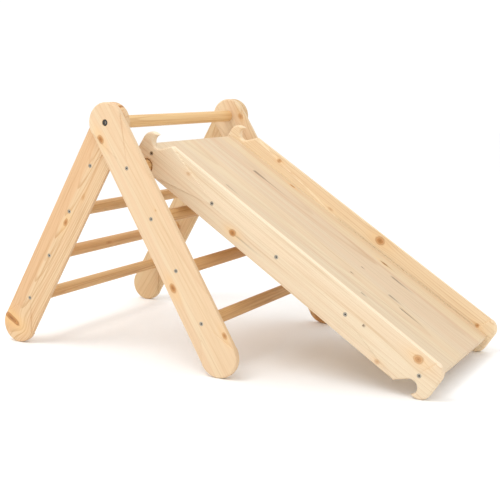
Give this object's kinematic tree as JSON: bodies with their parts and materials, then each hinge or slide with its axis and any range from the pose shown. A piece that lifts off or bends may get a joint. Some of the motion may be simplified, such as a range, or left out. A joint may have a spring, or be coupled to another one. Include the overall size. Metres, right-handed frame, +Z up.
{
  "type": "toddler slide",
  "caption": "Folding A-frame climbing ladder of pine boards and round rungs, with a slide of two side panels and a board that hooks over a rung.",
  "frame": {"origin": "on the floor, under the middle of the whole object", "axes": "+X down the slide, +Y from the near side to the far side, +Z up"},
  "size_m": [1.1166, 0.601, 0.6022],
  "materials": {
    "leg_pine": "sanded, clear matt oil",
    "rung_pine": "turned and sanded, clear matt oil",
    "panel_pine": "sanded, clear matt oil",
    "board_pine": "edge-glued staves, sanded smooth",
    "screw_steel": "bright zinc",
    "bolt_steel": "dull zinc",
    "insert_steel": "zinc",
    "spacer_nylon": "natural nylon"
  },
  "bodies": {
    "slide_ladder": {"slide_side_near_leg": "leg_pine", "slide_side_far_leg": "leg_pine", "slide_side_rung_1": "rung_pine", "slide_side_rung_2": "rung_pine", "slide_side_rung_3": "rung_pine", "slide_side_rung_4": "rung_pine", "slide_side_screws": "screw_steel", "top_bar": "rung_pine", "near_pivot_bolt": "bolt_steel", "far_pivot_bolt": "bolt_steel", "near_bar_insert": "insert_steel", "far_bar_insert": "insert_steel", "near_pivot_spacer": "spacer_nylon", "far_pivot_spacer": "spacer_nylon"},
    "climb_ladder": {"climb_side_near_leg": "leg_pine", "climb_side_far_leg": "leg_pine", "climb_side_rung_1": "rung_pine", "climb_side_rung_2": "rung_pine", "climb_side_rung_3": "rung_pine", "climb_side_rung_4": "rung_pine", "climb_side_screws": "screw_steel"},
    "slide": {"slide_near_panel": "panel_pine", "slide_far_panel": "panel_pine", "slide_stave_1": "board_pine", "slide_stave_2": "board_pine", "slide_stave_3": "board_pine", "slide_stave_4": "board_pine", "slide_stave_5": "board_pine", "slide_stave_6": "board_pine", "slide_near_screws": "screw_steel", "slide_far_screws": "screw_steel"}
  },
  "joints": [
    {"name": "ladder_fold", "type": "hinge", "parent": "slide_ladder", "child": "climb_ladder", "pos_m": [-0.21557, 0, 0.55519], "axis": [0, -1, 0], "range_deg": [0, 28]},
    {"name": "slide_lift", "type": "hinge", "parent": "slide_ladder", "child": "slide", "pos_m": [-0.15596, -0.0095, 0.45278], "axis": [0, -1, 0], "range_deg": [0, 33.7]}
  ]
}
